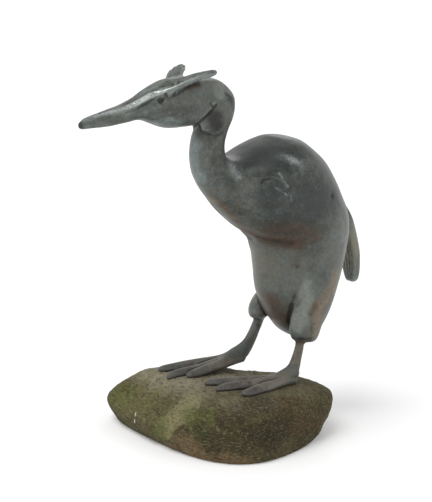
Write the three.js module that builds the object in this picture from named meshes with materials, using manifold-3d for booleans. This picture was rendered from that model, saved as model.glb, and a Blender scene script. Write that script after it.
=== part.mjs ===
// A cast metal grebe standing on a natural boulder.
// Millimetres, +Z up. The bird faces -Y, its left side is +X, and the boulder rests on z = 0.
import * as THREE from 'three';
import { mergeVertices } from 'three/addons/utils/BufferGeometryUtils.js';
import Module from 'manifold-3d';

// The gap between the soles and the stone.
const SEAT_GAP = 0.3;
// Colours of the two pieces.
const BRONZE = { color: 0x6f7671, roughness: 0.5, metalness: 0.65 };
const STONE = { color: 0x6d664b, roughness: 0.95, metalness: 0 };
// The radius at which a form closes to a point.
const POINT = 0.15;
// How many sides each form has around its path, and how many steps between two stations.
const SIDES = { trunk: 26, neck: 18, tail: 12, thigh: 14, shank: 10, tuft: 10, ruff: 10, toe: 8 };
const STEPS = 2;
const HEAD_STEPS_PER_CORNER = 3;

// Trunk, level by level: height, front, back, half width.
const TRUNK = [
  [127, 150, 150, 0],
  [135, 130, 170, 26],
  [150, 114, 185, 36],
  [175, 97, 196, 47],
  [205, 86, 211, 56],
  [240, 83, 225, 64],
  [265, 79, 230, 69],
  [290, 64, 231, 76],
  [315, 38, 227, 81],
  [340, 14, 215, 83],
  [365, 4, 201, 82],
  [390, 12, 184, 75],
  [411, 45, 161, 60],
  [426, 80, 138, 37],
  [433, 105, 105, 0],
];
// Neck, from inside the breast up into the head: y, z, depth radius, width radius.
const NECK = [
  [95, 330, 30, 38],
  [67, 346, 43, 44],
  [38, 360, 38.3, 42],
  [15, 372, 32, 36],
  [0, 383, 29, 31],
  [-11, 397, 26.5, 27.5],
  [-15.5, 414, 25, 25.5],
  [-14.8, 432, 24, 24.2],
  [-8, 452, 22.5, 24.5],
  [-3.5, 474, 28, 27],
  [-3, 492, 21, 20],
];
// Head and bill, from the bill tip to the nape: y and z of the axis, then crown height,
// brow height, brow half width, cheek half width, cheek height and throat depth.
const HEAD = [
  [-223, 470, 0.3, 0.2, 0.2, 0.3, 0, 0.3],
  [-220, 470.5, 4.5, 3.5, 2.5, 4, 0, 4.5],
  [-205, 473, 7.5, 6.5, 4.5, 6.5, -1, 7.5],
  [-180, 477, 10.5, 8.5, 7, 9, -2, 11],
  [-155, 482, 12, 10, 9, 12, -2, 13.5],
  [-135, 487, 15.3, 11.5, 11, 16, -3, 16.5],
  [-115, 491, 21.5, 14, 15, 22, -4, 26],
  [-90, 493, 29, 20, 20, 26, -6, 35.5],
  [-65, 494, 30, 24, 21, 28, -8, 37.5],
  [-40, 494, 29, 22, 20, 28, -8, 35.5],
  [-15, 493, 28, 19, 17, 27.5, -6, 26],
  [7, 491, 22, 15, 14, 23, -2, 20],
  [21, 490, 11, 8, 9, 13, 0, 12],
  [26, 490, 0.3, 0.2, 0.2, 0.3, 0, 0.3],
];
// Corners of the head's outline, as shares of those sizes: the jaw lies out and down from the
// cheek, the brow's outer edge is a little under the brow, and the crown rises from its inner edge.
const JAW = { out: 0.72, down: 0.72, cheek: 0.28 };
const BROW_EDGE = { out: 1.02, up: 0.92 };
const CROWN_EDGE = { out: 0.55, up: 0.72 };
// Wing tips and tail, laid together down the back: y, z, depth radius, width radius.
const TAIL = [
  [190, 352, 8, 18],
  [214, 325, 12, 24],
  [233, 298, 13, 26],
  [248, 268, 12, 23],
  [259, 238, 11, 19],
  [264, 212, 10, 14.5],
  [265, 197, 8, 10],
  [265, 191, 0, 0],
];
// Squareness of a section: 2 is an ellipse, and more is squarer.
const ROUND = 2;
const TAIL_SQUARENESS = 2.6;
// Crest tufts, each from its root on the crown to its own tip.
const TUFTS = {
  left: { root: [12, -92, 504], tip: [45.5, -34, 532] },
  right: { root: [-10, -69, 507.5], tip: [-39, -30, 534.5] },
};
// Tuft stations: share of the way, rise, width radius, depth radius.
const TUFT = [
  [0, 4, 12.5, 5.5],
  [0.3, 6, 12.2, 5],
  [0.6, 5, 11.6, 4.4],
  [0.86, 1.8, 8, 4],
  [0.96, 1, 5.2, 3.2],
  [1, 0.8, 0, 0],
];
// Eye hollow.
const EYE = { at: [21, -109, 497], radius: 4.5, sides: 12 };
// Ruff lobe on the left side of the neck, under the cheek: x, y, z, width radius, depth radius.
// The right lobe lies farther back.
const RUFF = [
  [13, -23, 484, 6, 9],
  [15, -21, 475, 10, 16],
  [15, -20, 465, 11, 18],
  [14, -19, 455, 10, 15],
  [13, -18, 449, 6, 8.5],
  [13, -18, 447, 0, 0],
];
const RUFF_BACK = { left: 0, right: 6 };
// Thighs, hip to cuff: x, y, z, width radius, depth radius.
const THIGHS = {
  left: [
    [36, 156, 262, 30, 40],
    [43, 155, 225, 25, 37],
    [45, 147, 187, 21, 30],
    [44, 135, 162, 19, 27],
    [43.5, 129.5, 145, 18, 25.5],
    [43, 126, 135, 14.5, 20.5],
    [43, 124.5, 129.5, 0, 0],
  ],
  right: [
    [-34, 172, 262, 28, 36],
    [-38, 174, 232, 24, 32],
    [-42, 160, 206, 20, 26],
    [-43, 144, 187, 18, 19],
    [-43, 124, 174, 16, 17.5],
    [-42, 115.5, 161, 15, 18.5],
    [-42, 115, 152, 10.5, 12],
    [-42, 115, 149, 0, 0],
  ],
};
// Shanks, cuff to heel: x, y, z, width radius, depth radius.
const SHANKS = {
  left: [
    [42, 128, 150, 7.4, 8],
    [43.5, 123, 134, 6.6, 7],
    [45.5, 117, 118, 6.4, 7],
    [47, 110, 102, 7, 8.6],
    [49, 102, 88, 8, 11],
    [50, 97, 78, 7, 9],
    [50, 96, 71, 0, 0],
  ],
  right: [
    [-42, 121, 168, 8, 8.5],
    [-43, 117, 152, 7.4, 8],
    [-45, 110, 134, 7.2, 8.2],
    [-47, 101, 116, 7.6, 9.4],
    [-49, 91, 102, 8.5, 11],
    [-50, 84, 93, 7.5, 9],
    [-50, 82, 87, 0, 0],
  ],
};
// Feet: the heel, and the plan position of the three toe tips, which lie on the stone.
const FEET = {
  left: { heel: [50, 104, 79], tips: [[9, -28], [40, -32], [78, -14]] },
  right: { heel: [-50, 89, 92], tips: [[-86, -41], [-52, -50], [-32, -28]] },
};
// Toe stations, heel to tip: share of the way, width radius, depth radius.
const TOE = [
  [0, 7, 7.5],
  [0.3, 7, 8],
  [0.6, 9.8, 8],
  [0.85, 9.4, 6.6],
  [0.96, 6, 4.8],
  [1, 0, 0],
];
// Web stations, between two toes: share of the way, share of the toe spacing, depth radius.
const WEB = [
  [0, 0.35, 6],
  [0.25, 0.35, 5],
  [0.45, 0.5, 3.6],
  [0.58, 0.45, 2.4],
];
// Instep stations, heel to middle toe: share of the way, rise, width radius, depth radius.
const INSTEP = [
  [-0.03, 13, 8, 7],
  [0.08, 10, 9, 8],
  [0.2, 5, 9.5, 7],
  [0.38, 0, 9, 6],
  [0.5, 0, 6, 4],
];
// How high the middle of a toe and of a web lie above the stone.
const TOE_LIFT = 2.6;
const WEB_LIFT = 2;
// Boulder: its centre, its nearly level top, its resting face, and three belts of weathered
// faces. A face is given by its bearing from +X and its distance from the centre.
const STONE_CENTRE = [-15, 25, 40];
const STONE_TOP = { tilt: 84, faces: [[90, 41]] };
const STONE_SHOULDER = {
  tilt: 45,
  faces: [[20, 150], [90, 120], [155, 80], [210, 160], [270, 84], [325, 125]],
};
const STONE_GIRDLE = {
  tilt: 4,
  faces: [
    [10, 140], [50, 190], [90, 155], [135, 84], [175, 185],
    [215, 240], [250, 180], [270, 145], [302, 134], [335, 158],
  ],
};
const STONE_UNDER = {
  tilt: -42,
  faces: [[0, 160], [45, 135], [100, 118], [160, 115], [215, 170], [270, 108], [315, 165]],
};
const STONE_BASE = { tilt: -90, faces: [[0, 54]] };
// How sharp the edges between the weathered faces are.
const STONE_EDGE = 9;
// How far the directions are spread, so that the facets stay even on a flat stone.
const STONE_SPREAD = [1.6, 1.2, 0.6];
const STONE_ROUND = 36;
const STONE_RINGS = 15;

const wasm = await Module();
wasm.setup();

const rad = (deg) => (deg * Math.PI) / 180;
const add = (a, b) => a.map((v, i) => v + b[i]);
const sub = (a, b) => a.map((v, i) => v - b[i]);
const scale = (a, k) => a.map((v) => v * k);
const dot = (a, b) => a.reduce((s, v, i) => s + v * b[i], 0);
const unit = (a) => scale(a, 1 / Math.hypot(...a));
const cross = (a, b) => [
  a[1] * b[2] - a[2] * b[1],
  a[2] * b[0] - a[0] * b[2],
  a[0] * b[1] - a[1] * b[0],
];

// A smooth run of stations through the given ones.
function smooth(rows) {
  const last = rows.length - 1;
  const first = rows[0].map((v, i) => 2 * v - rows[1][i]);
  const beyond = rows[last].map((v, i) => 2 * v - rows[last - 1][i]);
  const p = [first, ...rows, beyond];
  const out = [];
  for (let i = 1; i <= last; i++) {
    for (let k = 0; k < STEPS; k++) {
      const t = k / STEPS;
      out.push(p[i].map((b, j) => spline(p[i - 1][j], b, p[i + 1][j], p[i + 2][j], t)));
    }
  }
  out.push(rows[last]);
  return out;
}

function spline(a, b, c, d, t) {
  const one = (c - a) * t;
  const two = (2 * a - 5 * b + 4 * c - d) * t * t;
  const three = (3 * b - a - 3 * c + d) * t * t * t;
  return 0.5 * (2 * b + one + two + three);
}

// As smooth, with the columns from the given one on taken as radii, so that ends come out round.
function smoothRadii(rows, from) {
  const squared = rows.map((row) => row.map((v, i) => (i < from ? v : v * v)));
  return smooth(squared).map((row) =>
    row.map((v, i) => (i < from ? v : Math.sqrt(Math.max(v, POINT * POINT)))));
}

// Points of a closed oval of unit size.
function oval(count, squareness) {
  const out = [];
  for (let i = 0; i < count; i++) {
    const a = (2 * Math.PI * i) / count;
    const c = Math.cos(a);
    const s = Math.sin(a);
    const p = 2 / squareness;
    out.push([Math.sign(c) * Math.abs(c) ** p, Math.sign(s) * Math.abs(s) ** p]);
  }
  return out;
}

// The middle of a ring of points.
const middle = (ring) => scale(ring.reduce((s, p) => add(s, p), [0, 0, 0]), 1 / ring.length);

// A closed skin over a run of rings.
function skin(rings) {
  const n = rings[0].length;
  const points = rings.flat();
  const tail = points.length;
  points.push(middle(rings[0]), middle(rings[rings.length - 1]));
  const tris = [];
  for (let i = 0; i + 1 < rings.length; i++) {
    for (let j = 0; j < n; j++) {
      const a = i * n + j;
      const b = i * n + ((j + 1) % n);
      tris.push([a, b, b + n], [a, b + n, a + n]);
    }
  }
  const top = (rings.length - 1) * n;
  for (let j = 0; j < n; j++) {
    const k = (j + 1) % n;
    tris.push([tail, k, j], [tail + 1, top + j, top + k]);
  }
  let volume = 0;
  for (const [a, b, c] of tris) {
    volume += dot(points[a], cross(points[b], points[c]));
  }
  const order = volume > 0 ? tris : tris.map(([a, b, c]) => [a, c, b]);
  return solid(points.flat(), order.flat());
}

function solid(positions, triangles) {
  const mesh = new wasm.Mesh({
    numProp: 3,
    vertProperties: new Float32Array(positions),
    triVerts: new Uint32Array(triangles),
  });
  return new wasm.Manifold(mesh);
}

// The direction of travel at each station of a path.
function headings(path) {
  return path.map((p, i) => {
    const before = path[Math.max(i - 1, 0)];
    const after = path[Math.min(i + 1, path.length - 1)];
    return unit(sub(after, before));
  });
}

// A form cut by level planes: height, front, back, half width.
function levels(rows, sides) {
  const sized = rows.map(([z, front, back, half]) => [z, (front + back) / 2, (back - front) / 2, half]);
  const shape = oval(sides, ROUND);
  return skin(smoothRadii(sized, 2).map(([z, y, depth, width]) =>
    shape.map(([c, s]) => [width * c, y + depth * s, z])));
}

// A form along a path: x, y, z, width radius, depth radius. Its width lies toward x.
function limb(rows, sides, squareness = ROUND) {
  const shape = oval(sides, squareness);
  const run = smoothRadii(rows, 3);
  const ahead = headings(run.map((row) => row.slice(0, 3)));
  return skin(run.map(([x, y, z, width, depth], i) => {
    const across = unit(sub([1, 0, 0], scale(ahead[i], ahead[i][0])));
    const through = cross(ahead[i], across);
    return shape.map(([c, s]) =>
      add([x, y, z], add(scale(across, width * c), scale(through, depth * s))));
  }));
}

// A form along the bird's mirror plane: y, z, depth radius, width radius.
function spine(rows, sides, squareness) {
  return limb(rows.map(([y, z, depth, width]) => [0, y, z, width, depth]), sides, squareness);
}

// The outline of the head at one station, as points across and up from its axis.
function headOutline([crown, brow, browHalf, cheekHalf, cheek, throat]) {
  const half = [
    [0, -throat],
    [JAW.out * cheekHalf, JAW.cheek * cheek - JAW.down * throat],
    [cheekHalf, cheek],
    [BROW_EDGE.out * browHalf, BROW_EDGE.up * brow],
    [CROWN_EDGE.out * browHalf, brow + CROWN_EDGE.up * (crown - brow)],
    [0, crown],
  ];
  const other = half.slice(1, -1).reverse().map(([x, z]) => [-x, z]);
  const ring = [...half, ...other];
  const n = ring.length;
  const out = [];
  for (let i = 0; i < n; i++) {
    const [a, b, c, d] = [ring[(i + n - 1) % n], ring[i], ring[(i + 1) % n], ring[(i + 2) % n]];
    for (let k = 0; k < HEAD_STEPS_PER_CORNER; k++) {
      const t = k / HEAD_STEPS_PER_CORNER;
      out.push([spline(a[0], b[0], c[0], d[0], t), spline(a[1], b[1], c[1], d[1], t)]);
    }
  }
  return out;
}

function head() {
  const run = smooth(HEAD).map(([y, z, crown, brow, browHalf, cheekHalf, cheek, throat]) => ({
    at: [0, y, z],
    sizes: [crown, brow, browHalf, cheekHalf].map((v) => Math.max(v, POINT)).concat(cheek, throat),
  }));
  const ahead = headings(run.map(({ at }) => at));
  return skin(run.map(({ at, sizes }, i) => {
    const up = [0, -ahead[i][2], ahead[i][1]];
    return headOutline(sizes).map(([x, z]) => add(add(at, [x, 0, 0]), scale(up, z)));
  }));
}

function tuft({ root, tip }) {
  const way = sub(tip, root);
  return limb(TUFT.map(([share, rise, width, depth]) =>
    [...add(add(root, scale(way, share)), [0, 0, rise]), width, depth]), SIDES.tuft);
}

function eye(side) {
  const ball = new THREE.SphereGeometry(EYE.radius, EYE.sides, EYE.sides / 2);
  ball.translate(side * EYE.at[0], EYE.at[1], EYE.at[2]);
  return fromGeometry(ball);
}

function ruff(side, back) {
  return limb(RUFF.map(([x, y, ...rest]) => [side * x, y + back, ...rest]), SIDES.ruff);
}

// A point part of the way from the heel to a place on the stone, never lower than its lift.
function step(heel, [x, y], share, lift) {
  const flat = [heel[0] + (x - heel[0]) * share, heel[1] + (y - heel[1]) * share];
  const end = stoneTop(x, y) + lift;
  const straight = heel[2] + (end - heel[2]) * share;
  return [...flat, Math.max(straight, stoneTop(...flat) + lift)];
}

// Each foot: three toes, the webs between them, and the instep under the shank.
function foot({ heel, tips }) {
  const toes = tips.map((tip) => limb(TOE.map(([share, width, depth]) =>
    [...step(heel, tip, share, TOE_LIFT), width, depth]), SIDES.toe));
  const webs = tips.slice(1).map((tip, i) => {
    const between = scale(add(tip, tips[i]), 0.5);
    const spacing = Math.hypot(...sub(tip, tips[i]));
    return limb(WEB.map(([share, part, depth]) =>
      [...step(heel, between, share, WEB_LIFT), (spacing * part) / 2, depth]), SIDES.toe);
  });
  const instep = limb(INSTEP.map(([share, rise, width, depth]) =>
    [...add(step(heel, tips[1], share, TOE_LIFT), [0, 0, rise]), width, depth]), SIDES.toe);
  return [...toes, ...webs, instep];
}

// The direction a face looks in.
const facing = (bearing, tilt) => [
  Math.cos(rad(bearing)) * Math.cos(rad(tilt)),
  Math.sin(rad(bearing)) * Math.cos(rad(tilt)),
  Math.sin(rad(tilt)),
];

// The faces of the boulder, each moved out by the same small amount.
function stoneFaces(grow) {
  const belts = [STONE_TOP, STONE_SHOULDER, STONE_GIRDLE, STONE_UNDER, STONE_BASE];
  return belts.flatMap(({ tilt, faces }) =>
    faces.map(([bearing, distance]) => ({ normal: facing(bearing, tilt), distance: distance + grow })));
}

// How far a direction from the stone's centre runs before it leaves the rounded faces.
function stoneReach(faces, way) {
  const sum = faces.reduce((s, { normal, distance }) =>
    s + Math.max(0, dot(normal, way) / distance) ** STONE_EDGE, 0);
  return sum ** (-1 / STONE_EDGE);
}

// The height of the stone's top at a place in plan, found by halving.
const HEIGHT_STEP = 0.01;
function stoneTop(x, y) {
  const faces = stoneFaces(0);
  let low = STONE_CENTRE[2];
  let high = low + 2 * STONE_TOP.faces[0][1];
  while (high - low > HEIGHT_STEP) {
    const z = (low + high) / 2;
    const out = sub([x, y, z], STONE_CENTRE);
    const inside = Math.hypot(...out) < stoneReach(faces, unit(out));
    low = inside ? z : low;
    high = inside ? high : z;
  }
  return low;
}

// The boulder: the rounded crossing of its weathered faces, cut flat where it rests.
function boulder(grow) {
  const faces = stoneFaces(grow);
  const rings = [];
  for (let i = 1; i < STONE_RINGS; i++) {
    const down = (Math.PI * i) / STONE_RINGS;
    const ring = [];
    for (let j = 0; j < STONE_ROUND; j++) {
      const round = (2 * Math.PI * j) / STONE_ROUND;
      const ball = [Math.sin(down) * Math.cos(round), Math.sin(down) * Math.sin(round), Math.cos(down)];
      const way = unit(ball.map((v, k) => v * STONE_SPREAD[k]));
      const p = add(STONE_CENTRE, scale(way, stoneReach(faces, way)));
      ring.push([p[0], p[1], Math.max(p[2], 0)]);
    }
    rings.push(ring);
  }
  return skin(rings);
}

function fromGeometry(geometry) {
  geometry.deleteAttribute('normal');
  geometry.deleteAttribute('uv');
  const merged = mergeVertices(geometry);
  return solid(Array.from(merged.attributes.position.array), Array.from(merged.index.array));
}

function toMesh(body, name, look) {
  const { vertProperties, triVerts } = body.getMesh();
  const geometry = new THREE.BufferGeometry();
  geometry.setAttribute('position', new THREE.BufferAttribute(new Float32Array(vertProperties), 3));
  geometry.setIndex(new THREE.BufferAttribute(new Uint32Array(triVerts), 1));
  geometry.computeVertexNormals();
  const mesh = new THREE.Mesh(geometry, new THREE.MeshStandardMaterial(look));
  mesh.name = name;
  return mesh;
}

const forms = [
  levels(TRUNK, SIDES.trunk),
  spine(NECK, SIDES.neck, ROUND),
  head(),
  ruff(1, RUFF_BACK.left),
  ruff(-1, RUFF_BACK.right),
  tuft(TUFTS.left),
  tuft(TUFTS.right),
  spine(TAIL, SIDES.tail, TAIL_SQUARENESS),
  limb(THIGHS.left, SIDES.thigh),
  limb(THIGHS.right, SIDES.thigh),
  limb(SHANKS.left, SIDES.shank),
  limb(SHANKS.right, SIDES.shank),
  ...foot(FEET.left),
  ...foot(FEET.right),
];
const casting = forms.reduce((whole, form) => whole.add(form));
const cuts = [eye(1), eye(-1), boulder(SEAT_GAP)];
const grebe = cuts.reduce((whole, cut) => whole.subtract(cut), casting);

const group = new THREE.Group();
group.name = 'grebe_carving';
group.add(toMesh(grebe, 'grebe', BRONZE));
group.add(toMesh(boulder(0), 'boulder', STONE));

export default group;
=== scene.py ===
"""The finish of a cast metal grebe that stands on a mossy boulder.

The forms are worked in millimetres, +Z up: the bird faces -Y and its left side is +X.
They turn to metres when they become meshes.
"""
import functools
import itertools
import math

import bmesh
import bpy
import numpy as np
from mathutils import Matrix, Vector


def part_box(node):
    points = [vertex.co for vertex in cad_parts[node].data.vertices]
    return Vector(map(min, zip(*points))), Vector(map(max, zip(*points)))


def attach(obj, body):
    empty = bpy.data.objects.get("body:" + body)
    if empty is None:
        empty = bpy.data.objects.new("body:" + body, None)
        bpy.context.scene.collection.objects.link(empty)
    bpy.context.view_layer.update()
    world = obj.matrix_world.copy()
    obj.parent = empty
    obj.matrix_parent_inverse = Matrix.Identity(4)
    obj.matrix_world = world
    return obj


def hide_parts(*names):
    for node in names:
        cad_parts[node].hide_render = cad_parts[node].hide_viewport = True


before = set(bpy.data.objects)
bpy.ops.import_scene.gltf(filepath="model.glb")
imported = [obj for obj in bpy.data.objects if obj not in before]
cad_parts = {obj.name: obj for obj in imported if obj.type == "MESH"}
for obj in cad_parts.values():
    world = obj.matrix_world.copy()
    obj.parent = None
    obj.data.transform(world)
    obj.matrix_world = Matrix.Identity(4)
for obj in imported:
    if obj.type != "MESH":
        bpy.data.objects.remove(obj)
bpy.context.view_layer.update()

import openvdb
from mathutils import Vector, noise

MM = 0.001
STONE_LOW, STONE_HIGH = (np.array(corner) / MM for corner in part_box("boulder"))
BIRD_LOW, BIRD_HIGH = (np.array(corner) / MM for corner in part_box("grebe"))

# How finely the forms are worked: cells of the casting, of its head and feet, and of the stone.
CELL = 2.8
FINE_CELL = CELL / 2
STONE_CELL = 1.7
# Steps between two stations, and points around a form.
STEPS = 14
ROUND = 96
CORNER_STEPS = 14
# Farther from a surface than this, a cell only says inside or outside.
FAR = 40
# The least radius of a form, and the gap between the soles and the stone.
POINT = 0.15
SEAT_GAP = 0.3
SIDES = {"left": 1, "right": -1}

# Trunk, level by level: height, front, back, half width.
TRUNK = [
    [127, 150, 150, 0],
    [135, 130, 170, 26],
    [150, 114, 185, 36],
    [175, 97, 196, 47],
    [205, 86, 211, 56],
    [240, 83, 225, 64],
    [265, 79, 230, 69],
    [290, 64, 231, 76],
    [315, 38, 227, 81],
    [340, 14, 215, 83],
    [365, 4, 201, 82],
    [390, 12, 184, 75],
    [411, 45, 161, 60],
    [426, 80, 138, 37],
    [433, 105, 105, 0],
]
# Neck, from inside the breast up into the head: y, z, depth radius, width radius.
NECK = [
    [95, 330, 30, 38],
    [67, 346, 43, 44],
    [38, 360, 38.3, 42],
    [15, 372, 32, 36],
    [0, 383, 29, 31],
    [-11, 397, 26.5, 27.5],
    [-15.5, 414, 25, 25.5],
    [-14.8, 432, 24, 24.2],
    [-8, 452, 22.5, 24.5],
    [-3.5, 474, 28, 27],
    [-3, 492, 21, 20],
]
# Head and bill, from the bill tip to the nape: y and z of the axis, then crown height,
# brow height, brow half width, cheek half width, cheek height and throat depth.
HEAD = [
    [-223, 470, 0.3, 0.2, 0.2, 0.3, 0, 0.3],
    [-220, 470.5, 4.5, 3.5, 2.5, 4, 0, 4.5],
    [-205, 473, 7.5, 6.5, 4.5, 6.5, -1, 7.5],
    [-180, 477, 10.5, 8.5, 7, 9, -2, 11],
    [-155, 482, 12, 10, 9, 12, -2, 13.5],
    [-135, 487, 15.3, 11.5, 11, 16, -3, 16.5],
    [-115, 491, 21.5, 14, 15, 22, -4, 26],
    [-90, 493, 29, 20, 20, 26, -6, 35.5],
    [-65, 494, 30, 24, 21, 28, -8, 37.5],
    [-40, 494, 29, 22, 20, 28, -8, 35.5],
    [-15, 493, 28, 19, 17, 27.5, -6, 26],
    [7, 491, 22, 15, 14, 23, -2, 20],
    [21, 490, 11, 8, 9, 13, 0, 12],
    [26, 490, 0.3, 0.2, 0.2, 0.3, 0, 0.3],
]
# Corners of the head's outline, as shares of those sizes.
JAW = {"out": 0.72, "down": 0.72, "cheek": 0.28}
BROW_EDGE = {"out": 1.02, "up": 0.92}
CROWN_EDGE = {"out": 0.55, "up": 0.72}
# Wing tips and tail, laid together down the back: y, z, depth radius, width radius.
TAIL = [
    [190, 352, 8, 18],
    [214, 325, 12, 24],
    [233, 298, 13, 26],
    [248, 268, 12, 23],
    [259, 238, 11, 19],
    [264, 212, 10, 14.5],
    [265, 197, 8, 10],
    [265, 191, 0, 0],
]
TAIL_SQUARENESS = 2.6
# Crest tufts, each from its root on the crown to its own tip, with stations by share of the
# way: rise, width radius, depth radius.
TUFTS = {
    "left": {"root": [12, -92, 504], "tip": [45.5, -34, 532]},
    "right": {"root": [-10, -69, 507.5], "tip": [-39, -30, 534.5]},
}
TUFT = [
    [0, 4, 12.5, 5.5],
    [0.3, 6, 12.2, 5],
    [0.6, 5, 11.6, 4.4],
    [0.86, 1.8, 8, 4],
    [0.96, 1, 5.2, 3.2],
    [1, 0.8, 0, 0],
]
EYE = {"at": [21, -109, 497], "radius": 4.5}
# The finished eye is worn shallower, so its ball stands this much farther out.
EYE_WEAR = 2.8
# Ruff lobe on the left of the neck, under the cheek: x, y, z, width radius, depth radius.
# The right lobe lies farther back.
RUFF = [
    [13, -23, 484, 6, 9],
    [15, -21, 475, 10, 16],
    [15, -20, 465, 11, 18],
    [14, -19, 455, 10, 15],
    [13, -18, 449, 6, 8.5],
    [13, -18, 447, 0, 0],
]
RUFF_BACK = 6
# Thighs, hip to cuff, and shanks, cuff to heel: x, y, z, width radius, depth radius.
THIGHS = {
    "left": [
        [36, 156, 262, 30, 40],
        [43, 155, 225, 25, 37],
        [45, 147, 187, 21, 30],
        [44, 135, 162, 19, 27],
        [43.5, 129.5, 145, 18, 25.5],
        [43, 126, 135, 14.5, 20.5],
        [43, 124.5, 129.5, 0, 0],
    ],
    "right": [
        [-34, 172, 262, 28, 36],
        [-38, 174, 232, 24, 32],
        [-42, 160, 206, 20, 26],
        [-43, 144, 187, 18, 19],
        [-43, 124, 174, 16, 17.5],
        [-42, 115.5, 161, 15, 18.5],
        [-42, 115, 152, 10.5, 12],
        [-42, 115, 149, 0, 0],
    ],
}
SHANKS = {
    "left": [
        [42, 128, 150, 7.4, 8],
        [43.5, 123, 134, 6.6, 7],
        [45.5, 117, 118, 6.4, 7],
        [47, 110, 102, 7, 8.6],
        [49, 102, 88, 8, 11],
        [50, 97, 78, 7, 9],
        [50, 96, 71, 0, 0],
    ],
    "right": [
        [-42, 121, 168, 8, 8.5],
        [-43, 117, 152, 7.4, 8],
        [-45, 110, 134, 7.2, 8.2],
        [-47, 101, 116, 7.6, 9.4],
        [-49, 91, 102, 8.5, 11],
        [-50, 84, 93, 7.5, 9],
        [-50, 82, 87, 0, 0],
    ],
}
# Feet: the heel, and the plan position of the three toe tips, which lie on the stone.
FEET = {
    "left": {"heel": [50, 104, 79], "tips": [[9, -28], [40, -32], [78, -14]]},
    "right": {"heel": [-50, 89, 92], "tips": [[-86, -41], [-52, -50], [-32, -28]]},
}
# Toe stations by share of the way: width radius, depth radius. A toe has a keel along its top.
TOE = [
    [0, 7, 7.5],
    [0.3, 7, 8],
    [0.6, 9.8, 8],
    [0.85, 9.4, 6.6],
    [0.96, 6, 4.8],
    [1, 0, 0],
]
TOE_SQUARENESS = 1.6
# Web stations: share of the way, share of the toe spacing, depth radius.
WEB = [
    [0, 0.35, 6],
    [0.25, 0.35, 5],
    [0.45, 0.5, 3.6],
    [0.58, 0.45, 2.4],
]
# Instep stations, heel to middle toe: share of the way, rise, width radius, depth radius.
INSTEP = [
    [-0.03, 13, 8, 7],
    [0.08, 10, 9, 8],
    [0.2, 5, 9.5, 7],
    [0.38, 0, 9, 6],
    [0.5, 0, 6, 4],
]
TOE_LIFT = 2.6
WEB_LIFT = 2
# Boulder: belts of weathered faces, by tilt, then bearing from +X and distance from the centre.
STONE_CENTRE = np.array([-15, 25, 40])
STONE_BELTS = {
    84: [[90, 41]],
    45: [[20, 150], [90, 120], [155, 80], [210, 160], [270, 84], [325, 125]],
    4: [
        [10, 140], [50, 190], [90, 155], [135, 84], [175, 185],
        [215, 240], [250, 180], [270, 145], [302, 134], [335, 158],
    ],
    -42: [[0, 160], [45, 135], [100, 118], [160, 115], [215, 170], [270, 108], [315, 165]],
    -90: [[0, 54]],
}
STONE_EDGE = 9
# How softly each form runs into the ones before it.
FILLET = {
    "neck": 24, "nape": 14, "throat": 2.5, "hip": 14, "cuff": 3, "tuft": 6, "ruff": 5,
    "tail": 3, "instep": 6, "toe": 3, "shank": 2, "eye": 3.5,
}


def ease(value, start, end):
    """Goes from 0 at start to 1 at end, level at both."""
    share = np.clip((value - start) / (end - start), 0, 1)
    return share * share * (3 - 2 * share)


def smooth_run(rows, steps=STEPS):
    """A smooth run of stations through the given ones."""
    rows = np.array(rows, float)
    p = np.concatenate([[2 * rows[0] - rows[1]], rows, [2 * rows[-1] - rows[-2]]])
    a, b, c, d = (p[i:len(p) - 3 + i, None] for i in range(4))
    t = np.linspace(0, 1, steps, endpoint=False)[None, :, None]
    bends = (2 * a - 5 * b + 4 * c - d) * t**2 + (3 * b - a - 3 * c + d) * t**3
    run = 0.5 * (2 * b + (c - a) * t + bends)
    return np.concatenate([run.reshape(-1, rows.shape[1]), rows[-1:]])


def round_run(rows, first_radius):
    """As smooth_run, with radii from the column first_radius on, so that ends come out round."""
    rows = np.array(rows, float)
    rows[:, first_radius:] **= 2
    run = smooth_run(rows)
    run[:, first_radius:] = np.sqrt(np.maximum(run[:, first_radius:], POINT**2))
    return run


def oval(squareness, count=ROUND):
    """Points around a closed oval of unit size: squareness 2 is an ellipse."""
    turn = np.linspace(0, 2 * np.pi, count, endpoint=False)
    power = 2 / squareness
    across, through = np.cos(turn), np.sin(turn)
    return (np.sign(across) * abs(across) ** power, np.sign(through) * abs(through) ** power)


def skin(rings):
    """A closed form over a run of rings: its points and triangles."""
    count, sides, _ = rings.shape
    ends = [rings[0].mean(0), rings[-1].mean(0)]
    points = np.concatenate([rings.reshape(-1, 3), ends])
    ring, spot = np.meshgrid(np.arange(count - 1) * sides, np.arange(sides), indexing="ij")
    a = (ring + spot).ravel()
    b = (ring + (spot + 1) % sides).ravel()
    around = np.arange(sides)
    after = (around + 1) % sides
    first = np.full(sides, count * sides)
    top = (count - 1) * sides
    triangles = np.concatenate([
        np.stack([a, b, b + sides], 1),
        np.stack([a, b + sides, a + sides], 1),
        np.stack([first, after, around], 1),
        np.stack([first + 1, top + around, top + after], 1),
    ])
    return points, triangles


def unit(vectors):
    return vectors / np.linalg.norm(vectors, axis=-1, keepdims=True)


def limb_frame(places):
    """The directions across and through a limb at each station of its path."""
    ahead = unit(np.gradient(places, axis=0))
    across = unit(np.array([1, 0, 0]) - ahead * ahead[:, :1])
    return across, np.cross(ahead, across)


def limb(rows, squareness=2):
    """A form along a path: x, y, z, width radius, depth radius."""
    run = round_run(rows, 3)
    places, width, depth = run[:, :3], run[:, 3], run[:, 4]
    across, through = limb_frame(places)
    side, front = oval(squareness)
    wide = across[:, None] * (width[:, None] * side)[..., None]
    deep = through[:, None] * (depth[:, None] * front)[..., None]
    return skin(places[:, None] + wide + deep)


def in_middle(rows):
    """Stations y, z, depth radius, width radius on the mirror plane, as those of a limb."""
    return [[0, y, z, width, depth] for y, z, depth, width in rows]


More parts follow.
